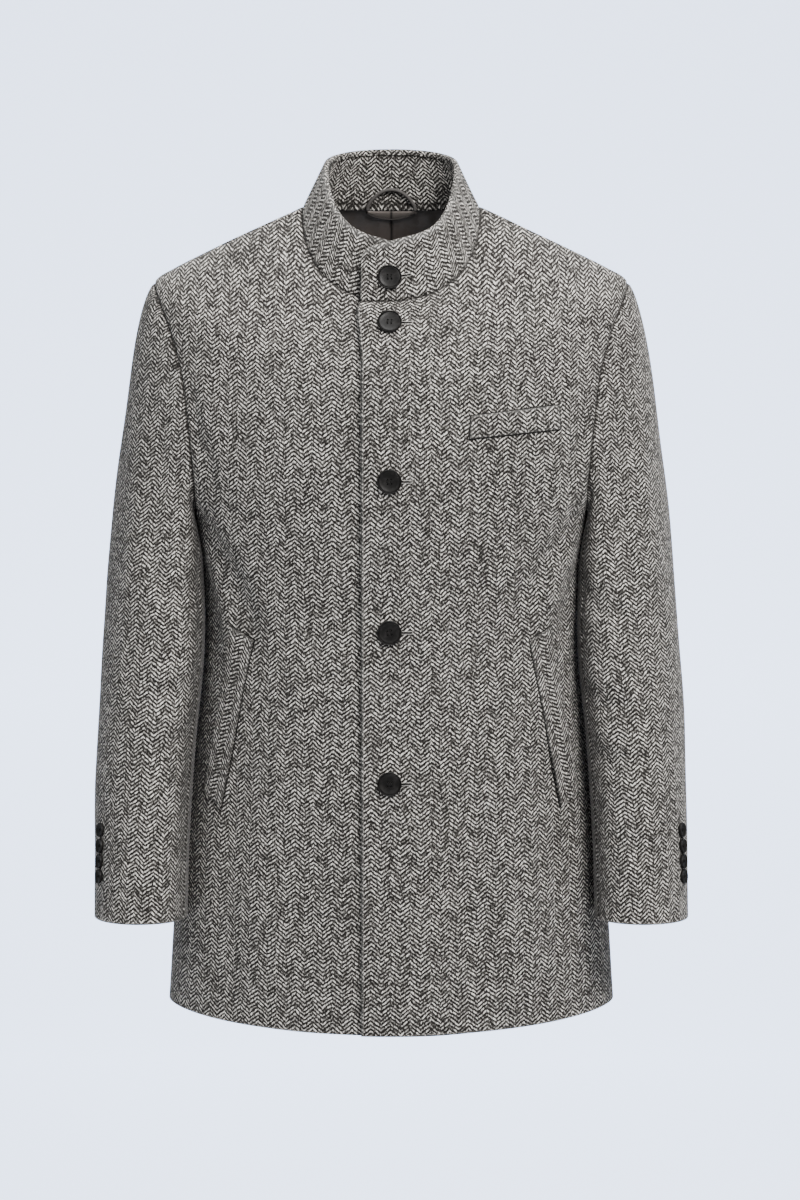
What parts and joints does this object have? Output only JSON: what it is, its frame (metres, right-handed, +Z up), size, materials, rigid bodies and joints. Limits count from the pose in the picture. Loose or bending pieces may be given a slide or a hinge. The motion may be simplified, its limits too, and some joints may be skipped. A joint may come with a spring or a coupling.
{
  "type": "wool overcoat",
  "caption": "Short single-breasted overcoat with a stand collar, welt pockets and buttoned cuffs, filled out as worn and hollow, to dress a figure or a display form",
  "frame": {"origin": "the middle of the neck, where the coat hangs from its wearer, 0.765 m above the hem at the sides", "axes": "+Z up, -Y the front of the coat, +X the wearer's left"},
  "size_m": [0.5962, 0.2743, 0.884],
  "materials": {
    "wool": "grey herringbone wool with a slight nap",
    "satin": "dark brown-black satin lining",
    "horn": "satin charcoal",
    "cord": "dark covered cord",
    "tab": "grey-brown satin"
  },
  "bodies": {
    "root": {"front_left": "wool", "front_right": "wool", "back_left": "wool", "back_right": "wool", "sleeve_top_left": "wool", "sleeve_top_right": "wool", "sleeve_under_left": "wool", "sleeve_under_right": "wool", "collar_outer": "wool", "collar_facing": "wool", "lining_left": "satin", "lining_right": "satin", "hanger_loop": "cord", "loop_base": "tab", "breast_welt": "wool", "hip_welt_left": "wool", "hip_welt_right": "wool", "button_front_1": "horn", "button_front_2": "horn", "button_front_3": "horn", "button_front_4": "horn", "button_front_5": "horn", "button_cuff_left_1": "horn", "button_cuff_left_2": "horn", "button_cuff_left_3": "horn", "button_cuff_left_4": "horn", "button_cuff_right_1": "horn", "button_cuff_right_2": "horn", "button_cuff_right_3": "horn", "button_cuff_right_4": "horn"}
  },
  "joints": []
}
